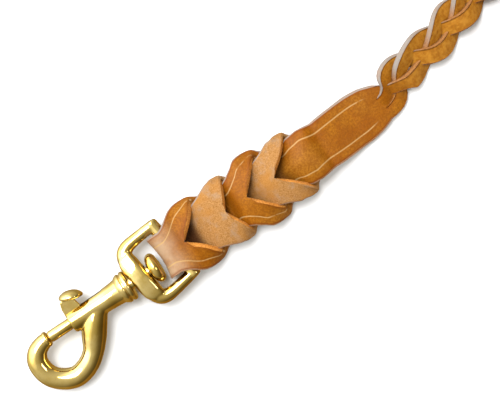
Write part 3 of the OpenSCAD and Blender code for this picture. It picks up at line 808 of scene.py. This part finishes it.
def hank_point(turns):
    """A point of the hank after a number of turns: out along a run, round, back along the climbing run, round."""
    whole = math.floor(turns)
    half = math.floor((turns - whole) * 2)
    t = (turns - whole) * 2 - half
    arc = math.pi * HANK_R / (math.pi * HANK_R + HANK_RUN)
    run = 1 - arc
    side = 1 if half == 0 else -1
    if t < run:
        u = t / run
        x = side * (u - 0.5) * HANK_RUN
        y = side * (HANK_WAIST + (HANK_R - HANK_WAIST) * (1 + math.cos(2 * math.pi * u)) / 2)
        climb = 0 if half == 0 else (1 - math.cos(math.pi * u)) / 2
    else:
        u = (t - run) / arc
        x = side * (HANK_RUN / 2 + HANK_R * math.sin(math.pi * u))
        y = side * HANK_R * math.cos(math.pi * u)
        climb = half
    z = HANK_Z + HANK_LAYER * (whole + climb)
    return STRAP_EXIT + Vector((HANK_STEP[0] + HANK_RUN / 2 + x, HANK_STEP[1] - HANK_R + y, z))


def plait_route():
    """The plait's centreline from inside the strap's end to the lead's flat end, evenly spaced."""
    rows = [(0.0, 0.0)] + list(RUN_STEPS)
    last = RUN_STEPS[-1][0]
    rough = []
    for x in range(-CUT_LEN, 0):
        drift = through(BOW, STRAP_END + x)[1] - BOW[-1][1]
        rough.append(STRAP_EXIT + Vector((x, drift, STRAP_T / 2)))
    for x in range(last + 1):
        z = mix(mix(STRAP_T / 2, PLAIT_LIFT, fade(x, *PLAIT_RISES)), HANK_Z, fade(x, RUN_CLIMB * last, last))
        rough.append(STRAP_EXIT + Vector((x, through(rows, x)[1], z)))
    rough += [hank_point(k / TURN_STEPS) for k in range(int(HANK_TURNS * TURN_STEPS) + 1)]
    rough.append(rough[-1] - Vector((HANK_OUT, 0, 0)))
    return evenly(rough, ROUTE_STEP)


def evenly(points, gap):
    """The same line with its points one gap apart."""
    out = [points[0].copy()]
    left = gap
    for a, b in zip(points, points[1:]):
        length = (b - a).length
        while length > 0 and left <= length:
            out.append(a.lerp(b, left / length))
            left += gap
        left -= length
    return out


def plait_frames(route):
    """Distances past the strap's end, with point, left and up; near the strap the plait leans as the strap does."""
    frames = []
    for i, p in enumerate(route):
        way = (route[min(i + 1, len(route) - 1)] - route[max(i - 1, 0)]).normalized()
        left = Vector((0, 0, 1)).cross(way).normalized()
        up = way.cross(left)
        s = i * ROUTE_STEP - CUT_LEN
        lean = through(LEAN, STRAP_END + s)[1] if s < 0 else mix(LEAN[-1][1], 0, fade(s, *PLAIT_LEVELS))
        lean = math.radians(lean)
        across = left * math.cos(lean) + up * math.sin(lean)
        frames.append((s, p + Vector((0, 0, LEAN_LIFT * math.sin(lean))), across, way.cross(across)))
    return frames


def strand_turn(number, s):
    """A strand's phase in the plait, in radians, at distance s past the strap's end."""
    lead = STRAND_LEAD + EARLY[number] * fade(s, *EARLY_UNTIL)
    return 2 * math.pi * (s + lead) / STRAND_PERIOD + math.radians(60 + 120 * number)


def strand_pose(number, s, last):
    """A strand's offset to the left, its height, its roll and its width at distance s past the strap's end.

    The strands begin side by side and end so at the last distance, raised to the flat end.
    """
    turn = strand_turn(number, s)
    settled = fade(s, *STRAND_SETTLES)
    begin = fade(s, *STRAND_BEGINS[number])
    order = sorted(range(3), key=lambda n: -math.sin(strand_turn(n, last)))
    cut_w = through(CUT_WIDTHS, s)[1]
    roll = mix(*STRAND_TILT, fade(s, *STRAND_TO_HANK)) - STRAND_ROLL * math.cos(turn)
    pose = (
        mix((number - 1) * cut_w / 3, -mix(*STRAND_REACH, settled) * math.sin(turn), begin),
        mix(0.0, STRAND_LIFT * math.sin(2 * turn), begin),
        math.radians(mix(0.0, roll, begin)),
        mix(cut_w / 3, mix(*STRAND_W, settled), begin),
    )
    side_by_side = ((order.index(number) - 1) * 2 * END_NECK / 3, MERGE_LIFT, 0.0, 2 * END_NECK / 3)
    return [mix(a, b, fade(s, last - MERGE_LEN, last)) for a, b in zip(pose, side_by_side)]


def strand_section(wide, thick):
    """A strand's section, both halves, as (y, z, distance from rim)."""
    half = half_section((0, STRAND_CROWN), (wide / 2, -STRAND_CROWN), thick, False)[: SECTION - 2]
    right = [(y, z, rim) for y, z, rim, _ in half]
    left = [(-y, z, rim) for y, z, rim in right]
    return right[:-1] + left[:0:-1]


def strand_shell(number, frames):
    """A strand along the plait's frames, whose points are rows with the layers' values."""
    rings = []
    last = frames[-1][0]
    for s, p, left, up in frames:
        offset, high, roll, wide = strand_pose(number, s, last)
        y_way = left * math.cos(roll) + up * math.sin(roll)
        z_way = up * math.cos(roll) - left * math.sin(roll)
        centre = p + left * offset + up * high
        pale = mix(*STRAND_PALE, fade(offset, *PALE_ACROSS)) * mix(1.0, HANK_PALE, fade(s, *STRAND_TO_HANK))
        # Gold tint, partly painted light, fading in past the strap and out at the flat end
        gold_and_painted_light = STRAND_GOLD_AND_LIGHT * fade(s, *GOLD_BEGINS) * fade(s, last, last - MERGE_LEN)
        rings.append([
            (*uneven(centre + y_way * y + z_way * z, UNEVEN_STRAND), rim + STRAND_RIM, pale, gold_and_painted_light, NONE_NEAR)
            for y, z, rim in strand_section(wide, mix(*STRAND_T, fade(s, *STRAND_THINS)))
        ])
    return loft(rings)


def build_plait():
    """Three strands plaited flat, as one piece, and the line they follow."""
    frames = plait_frames(plait_route())
    rows, faces = merged([strand_shell(number, frames) for number in range(3)])
    bands = (STRAND_BANDS * (len(frames) - 1) + [CUT_EDGE] * 2) * 3
    obj = leather_mesh("plait", rows, faces, bands, ("rim", "pale", "gold_and_painted_light", "slit"))
    weld(obj, FINE_WELD)
    return obj, [f[1] * MM for f in frames]


# Lead end and tie


def build_lead_end():
    """The uncut flat end of the lead, with a rounded tip."""
    rings = []
    for k in range(END_STEPS + 1):
        x = END_LEN * (1 - (1 - k / END_STEPS) ** 2)
        half = mix(END_NECK, END_HALF, fade(x, *END_WIDENS))
        past = x - END_LEN + END_HALF
        if past > 0:
            half = max(math.sqrt(max(END_HALF**2 - past**2, 0.0)), END_TIP)
        rings.append([
            (END_AT[0] - x, END_AT[1] + side * y, END_AT[2] + z, rim, slit, END_PALE)
            for side in (1, -1)
            for y, z, rim, slit in half_section((0, 0), (half, 0), STRAP_T, False)
        ])
    return leather_run("flat_end", rings, [False] * len(rings), ("rim", "slit", "pale"))


def build_tie():
    """A thong round the hank's waist: a closed band with rounded corners, flesh side out."""
    in_y, in_z = TIE_BOX[0] / 2 - TIE_CORNER, TIE_BOX[1] / 2 - TIE_CORNER
    w, t, b = TIE_HALF_W, TIE_HALF_T, TIE_BEVEL
    section = ((-w, b - t), (b - w, -t), (w - b, -t), (w, b - t), (w, t - b), (w - b, t), (b - w, t), (-w, t - b))
    rows = []
    for corner, (sy, sz) in enumerate(((1, 1), (-1, 1), (-1, -1), (1, -1))):
        for k in range(TIE_STEPS + 1):
            turn = math.radians(90 * corner + 90 * k / TIE_STEPS)
            out = Vector((math.cos(turn), math.sin(turn)))
            for x, up in section:
                p = Vector((sy * in_y, sz * in_z)) + out * (TIE_CORNER + up)
                rows.append((TIE_AT[0] + x, TIE_AT[1] + p.x, TIE_AT[2] + p.y, NONE_NEAR, NONE_NEAR))
    count = 4 * (TIE_STEPS + 1)
    faces = ring_quads(count, len(section), closed=True)
    obj = leather_mesh("thong", rows, faces, TIE_BANDS * count, ("rim", "slit"))
    weld(obj, FINE_WELD)
    return obj


# Brass, with x counted from the eye's far bar

# Snap: turn about its axis, ends of its mouth, barrel and hook, the bolt's bore and the knob's slot
SNAP_ROLL = 6.26
MOUTH = -61.4
TIP = -74.8
BARREL_BACK = -26.9
BORE_R = 3.05
BORE = (MOUTH - 3.0, MOUTH + 27.5)
SLOT = (MOUTH - 1, MOUTH + 21.2)
SLOT_TOP = 9.0
SLOT_CLEAR = 0.3

# The hook's centreline from its tip round to the barrel: x, y below the snap's axis, radius
HOOK = (
    (TIP, 0.0, 3.7), (TIP - 4.2, -0.7, 4.17), (TIP - 8.5, -3.04, 4.82), (TIP - 11.0, -7.7, 5.14),
    (TIP - 10.3, -14.6, 5.24), (TIP - 6.2, -20.1, 5.3), (TIP + 0.8, -23.4, 5.35), (MOUTH - 5.1, -21.9, 5.3),
    (MOUTH + 1.0, -17.7, 5.24), (MOUTH + 5.4, -12.0, 6.1), (MOUTH + 9.4, -6.3, 6.31), (MOUTH + 13.9, -1.9, 5.56),
    (MOUTH + 19.3, 0.0, 4.6),
)

# Outlines of the barrel and of the rims at its back: radius, distance from the mouth
BARREL = (
    (0.0, 0.0), (4.6, 0.0), (5.2, 0.25), (5.45, 0.8), (5.5, 9.0), (5.65, 18.0), (6.0, 25.0), (6.5, 28.6),
    (7.0, 29.6), (7.0, 33.6), (0.0, 33.6),
)
RIMS = (
    (0.0, 28.4), (6.6, 28.4), (7.2, 29.2), (7.55, 29.9), (7.75, 30.4), (7.75, 31.1), (7.5, 31.5), (7.05, 31.75),
    (7.05, 32.0), (7.5, 32.2), (7.85, 32.6), (7.9, 33.2), (7.85, 33.8), (7.5, 34.25), (6.9, 34.5), (0.0, 34.5),
)

# Outlines of the bead at the hook's tip and of the bolt: radius, distance from the bead's face and the bolt's front
BEAD = ((0.0, -1.7), (3.7, -1.7), (3.95, -1.45), (4.05, -0.9), (3.95, -0.35), (3.6, 0.0), (0.0, 0.0))
BOLT = ((0.0, 0.0), (1.9, 0.0), (2.5, 0.3), (2.85, 0.8), (2.95, 1.3), (2.95, 23.1), (2.55, 23.5), (0.0, 23.5))
BOLT_FRONT = TIP + 0.4

# Spring behind the bolt: its two ends, turns, coil and wire, and how finely they are drawn
COIL_FRONT = -50.45
COIL_BACK = -34.35
COIL_TURNS = 7
COIL_STEPS = 24
COIL_R = 2.5
WIRE_R = 0.3
WIRE_SIDES = 8

# Stem and the outline of its button head: radius, distance from the head's face towards the eye
BUTTON_X = -14.889
BUTTON = (
    (0.0, -0.5), (4.2, -0.5), (4.6, -0.3), (5.4, -0.05), (6.3, 0.3), (7.1, 1.0), (7.65, 1.9), (7.8, 2.7),
    (7.6, 3.6), (6.9, 4.5), (5.9, 5.05), (4.5, 5.25), (2.7, 5.0), (0.0, 4.8),
)
STEM_R = 3.0
STEM = (BARREL_BACK - 4.0, BUTTON_X + 0.4)

# Knob: its tab's front, thickness and outline as x from the front and y; its domed head's place on the tab, lean in
# degrees and outline as radius and height
TAB_FRONT = MOUTH - 0.3
TAB_T = 3.6
TAB = ((0.0, 2.95), (8.8, 2.95), (8.8, 5.9), (8.2, 8.2), (8.6, 10.6), (1.4, 11.6), (0.2, 8.0))
KNOB_AT = (7.1, 10.0)
KNOB_LEAN = 20
KNOB = (
    (0.0, 0.0), (4.2, 0.0), (5.4, 0.25), (6.0, 0.75), (6.1, 1.3), (5.8, 2.0), (4.9, 2.9), (3.6, 3.7), (2.0, 4.2),
    (0.0, 4.35),
)

# The eye's base from its middle out to the root of an arm: y, middle x, half thickness, half height; and how square
# its section is, from 1 for round towards 0
EYE_BASE = (
    (0.0, -21.1, 4.75, 5.8), (4.0, -21.1, 4.75, 5.7), (7.5, -21.1, 4.75, 5.4), (9.5, -21.0, 4.6, 5.1),
    (11.2, -20.7, 4.2, 4.7), (12.6, -20.3, 3.7, 4.2), (13.6, -19.9, 3.0, 3.5), (14.3, -19.6, 2.0, 2.5),
    (14.7, -19.4, 0.8, 1.0),
)
BASE_SQUARE = 0.5
EYE_BORE_R = 3.77
EYE_BORE = (-27.0, -15.0)

# An arm of the eye: x, y, radius; the last row is the +Y arm's end past the bar
ARM = (
    (-21.2, 8.5, 4.2), (-20.7, 11.6, 4.1), (-19.1, 14.1, 3.8), (-16.4, 15.3, 3.5), (-13.0, 15.6, 3.2),
    (-8.0, 15.5, 3.0), (-2.0, 15.2, 2.9), (1.0, 15.0, 2.8), (2.4, 14.9, 2.2),
)

# The eye's far bar: half length, and distance from its end and radius
BAR_HALF = 17.6
BAR_END = ((0.0, 0.3), (0.15, 2.4), (0.7, 3.05), (1.3, 3.2))

# How finely brass is drawn: sides of turned pieces, tubes and the bar, steps between rows of the hook and the eye
LATHE_SIDES = 72
TUBE_SIDES = 40
BAR_SIDES = 48
HOOK_STEPS = 8
EYE_STEPS = 4

# Skins of the castings and of the knob, as voxel and rounds of smoothing; and angles in degrees that stay sharp
CAST_SKIN = (0.32, 14)
KNOB_SKIN = (0.2, 10)
CUT_SHARP = 38
TURNED_SHARP = 50

ON_AXIS = Matrix.Translation((BAR_X, SNAP_Y, AXIS_Z)) @ Matrix.Rotation(math.radians(SNAP_ROLL), 4, "X")
ON_EYE = Matrix.Translation((BAR_X, BAR_Y, AXIS_Z)) @ Matrix.Rotation(math.radians(EYE_SKEW), 4, "Z")


def lathe(outline, start=0.0):
    """A solid of revolution about the snap's axis; outline is radius and distance, from axis to axis."""
    rings = [[(start + x, r * c, r * n) for c, n in circle(LATHE_SIDES)] for r, x in outline]
    return [p for ring in rings for p in ring], ring_quads(len(rings), LATHE_SIDES)


def rod(radius, start, end):
    return lathe(((0.0, start), (radius, start), (radius, end), (0.0, end)))


def tube(rows):
    """A round tube in the XY plane; rows are x, y and radius."""
    rings = []
    last = len(rows) - 1
    for i, (x, y, r) in enumerate(rows):
        way = Vector(rows[min(i + 1, last)][:2]) - Vector(rows[max(i - 1, 0)][:2])
        way.normalize()
        rings.append([(x - way.y * (r * c), y + way.x * (r * c), r * n) for c, n in circle(TUBE_SIDES)])
    return loft(rings)


def cross_bar():
    """The eye's far bar, along Y, with rounded ends."""
    ends = [(inward - BAR_HALF, r) for inward, r in BAR_END]
    ends += [(-y, r) for y, r in reversed(ends)]
    return loft([[(r * n, y, r * c) for c, n in circle(BAR_SIDES)] for y, r in ends])


def eye_base():
    """The eye's base along Y, with flat-topped sections."""
    rows = eased_rows(EYE_BASE, EYE_STEPS)
    rows = [[-r[0]] + r[1:] for r in reversed(rows[1:])] + rows
    around = [[math.copysign(abs(v) ** BASE_SQUARE, v) for v in pair] for pair in circle(TUBE_SIDES)]
    return loft([[(x + thick * c, y, high * n) for c, n in around] for y, x, thick, high in rows])


def prism(corners, half):
    """A flat shape in XY given thickness along Z."""
    return loft([[(x, y, z) for x, y in corners] for z in (-half, half)])


def one_mesh(name, shells, material):
    """An object of several shells, in one material."""
    obj = new_mesh(name, *merged(shells), [material])
    weld(obj, FINE_WELD)
    return obj


def skin(obj, voxel, rounds):
    """One closed skin over overlapping shells, with soft fillets where they meet."""
    remesh = obj.modifiers.new("skin", "REMESH")
    remesh.mode = "VOXEL"
    remesh.voxel_size = voxel * MM
    soft = obj.modifiers.new("soft", "SMOOTH")
    soft.factor = 0.5
    soft.iterations = rounds
    apply_modifiers(obj)
    obj.data.polygons.foreach_set("use_smooth", [True] * len(obj.data.polygons))


def cut(obj, *shells):
    """Takes shells away from an object."""
    for shell in shells:
        tool = one_mesh("cutter", [shell], BRASS)
        modifier = obj.modifiers.new("cut", "BOOLEAN")
        modifier.operation = "DIFFERENCE"
        modifier.solver = "EXACT"
        modifier.object = tool
        apply_modifiers(obj)
        bpy.data.objects.remove(tool)
    sharpen(obj, CUT_SHARP)


def joined(obj, other):
    """The other object's mesh becomes part of the first one's."""
    bm = bmesh.new()
    for o in (obj, other):
        bm.from_mesh(o.data)
    bm.to_mesh(obj.data)
    bm.free()
    bpy.data.objects.remove(other)
    return obj


def settle(obj, matrix, body, slot, *nodes):
    """Puts a finished piece in its place and on its body."""
    scaled = matrix.copy()
    scaled.translation = matrix.translation * MM
    obj.data.transform(scaled)
    belong(obj, body, slot, *nodes)


def build_snap_body():
    """Hook and barrel, with the bolt's bore, the knob's slot, rims and a bead."""
    body = one_mesh("snap_casting", [tube(eased_rows(HOOK, HOOK_STEPS)), lathe(BARREL, MOUTH)], BRASS)
    skin(body, *CAST_SKIN)
    slot = [(SLOT[0], 0.0), (SLOT[1], 0.0), (SLOT[1], SLOT_TOP), (SLOT[0], SLOT_TOP)]
    cut(body, rod(BORE_R, *BORE), prism(slot, TAB_T / 2 + SLOT_CLEAR))
    rims = one_mesh("rims", [lathe(RIMS, MOUTH), lathe(BEAD, TIP)], BRASS)
    sharpen(rims, TURNED_SHARP)
    settle(joined(body, rims), ON_AXIS, "snap", "brass", "snap_body")


def build_bolt():
    bolt = one_mesh("bolt_rod", [lathe(BOLT, BOLT_FRONT)], BRASS)
    sharpen(bolt, TURNED_SHARP)
    settle(bolt, ON_AXIS, "bolt", "brass", "snap_bolt")


def build_knob():
    """The tab that runs in the slot and its domed head."""
    tab = prism([(TAB_FRONT + x, y) for x, y in TAB], TAB_T / 2)
    lean = Matrix.Rotation(math.radians(90 - KNOB_LEAN), 4, "Z")
    head = turned(lathe(KNOB), Matrix.Translation((TAB_FRONT + KNOB_AT[0], KNOB_AT[1], 0)) @ lean)
    knob = one_mesh("thumb_piece", [tab, head], BRASS)
    skin(knob, *KNOB_SKIN)
    settle(knob, ON_AXIS, "bolt", "brass", "thumb_knob")


def build_eye():
    """Base, arms and far bar under one skin, with the stem's bore."""
    arms = []
    for side, rows in ((1, ARM), (-1, ARM[:-1])):
        arms.append(tube(eased_rows([(x, side * y, r) for x, y, r in rows], EYE_STEPS)))
    eye = one_mesh("eye_casting", [eye_base(), *arms, cross_bar()], BRASS)
    skin(eye, *CAST_SKIN)
    cut(eye, rod(EYE_BORE_R, *EYE_BORE))
    settle(eye, ON_EYE, "eye", "brass", "swivel_eye")


def build_stem():
    stem = one_mesh("stem_and_button", [rod(STEM_R, *STEM), lathe(BUTTON, BUTTON_X)], BRASS)
    sharpen(stem, TURNED_SHARP)
    settle(stem, ON_AXIS, "snap", "brass", "swivel_stem")


def build_spring():
    """The coil between the bolt and the end of its bore, drawn at rest; the real one shortens as the bolt slides
    back, this one stays fixed.
    """
    rings = []
    count = COIL_STEPS * COIL_TURNS
    for i in range(count + 1):
        turn = 2 * math.pi * i / COIL_STEPS
        x = mix(COIL_FRONT, COIL_BACK, i / count)
        wire = [(WIRE_R * n, COIL_R + WIRE_R * c) for c, n in circle(WIRE_SIDES)]
        rings.append([(x + along, r * math.cos(turn), r * math.sin(turn)) for along, r in wire])
    coil = one_mesh("coil", [turned(loft(rings), ON_AXIS)], WIRE)
    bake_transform(coil)
    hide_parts("bolt_spring")


# Stage


def build_camera():
    data = bpy.data.cameras.new("camera")
    data.lens = LENS
    data.sensor_width = SENSOR
    camera = bpy.data.objects.new("camera", data)
    camera.location = (LOOK_AT[0] * MM, LOOK_AT[1] * MM, CAMERA_Z)
    camera.rotation_euler = (0, 0, -math.radians(LEAD_TURN))
    bpy.context.scene.collection.objects.link(camera)
    bpy.context.scene.camera = camera


def build_table():
    points = [(x * TABLE_HALF, y * TABLE_HALF, 0) for x, y in ((-1, -1), (1, -1), (1, 1), (-1, 1))]
    table = new_mesh("table", points, [(0, 1, 2, 3)], [table_top()])
    table.visible_glossy = False


def soft_light(name, place, size, watts, mirrored):
    data = bpy.data.lights.new(name, "AREA")
    data.size = size
    data.energy = watts
    obj = bpy.data.objects.new(name, data)
    obj.location = place
    obj.rotation_euler = (Vector(LIT_PLACE) - Vector(place)).to_track_quat("-Z", "Y").to_euler()
    obj.visible_glossy = mirrored
    bpy.context.scene.collection.objects.link(obj)


def colour_ramp(tree, share, rows):
    """A colour for a share from 0 to 1, from rows of a cosine and its colour."""
    colour = add_node(tree, "ShaderNodeValToRGB", {"Fac": share}, "Color")
    elements = colour.node.color_ramp.elements
    while len(elements) < len(rows):
        elements.new(0.5)
    for element, (at, shade) in zip(elements, rows):
        element.position = (at + 1) / 2
        element.color = (*shade, 1)
    return colour


def build_world():
    """Surroundings that the brass mirrors: bright on one side, dark on the other, warm from below."""
    world = bpy.data.worlds.new("studio")
    bpy.context.scene.world = world
    world.use_nodes = True
    tree = world.node_tree
    way = add_node(tree, "ShaderNodeTexCoord", {}, "Generated")
    towards = add_node(tree, "ShaderNodeVectorMath", {0: way, 1: SKY_MIDDLE}, "Value", operation="DOT_PRODUCT")
    share = add_node(tree, "ShaderNodeMapRange", {"Value": towards, "From Min": -1.0}, "Result")
    height = add_node(tree, "ShaderNodeSeparateXYZ", {"Vector": way}, "Z")
    horizon = {"Value": height, "From Min": HORIZON_BLUR, "From Max": -HORIZON_BLUR}
    below = add_node(tree, "ShaderNodeMapRange", horizon, "Result")
    halves = {"Factor": below, 6: colour_ramp(tree, share, SKY), 7: colour_ramp(tree, share, FLOOR)}
    background = tree.nodes["Background"].inputs
    fill(tree, background["Color"], add_node(tree, "ShaderNodeMix", halves, 2, data_type="RGBA"))
    fill(tree, background["Strength"], SKY_STRENGTH)


def main():
    build_camera()
    plait, line = build_plait()
    belong(plait, "lead", "leather", "braid_run", "braid_hank")
    belong(build_strap(), "lead", "leather", "eye_fold", "main_strap", "tail_strap")
    build_snap_body()
    build_bolt()
    build_knob()
    build_eye()
    build_stem()
    build_spring()
    end, tie = build_lead_end(), build_tie()
    belong(end, "lead", "leather", "lead_end")
    belong(tie, "lead", "tie_leather", "hank_tie")
    build_table()
    for light in LIGHTS:
        soft_light(*light)
    build_world()
    bpy.context.scene.view_settings.view_transform = "Standard"


main()
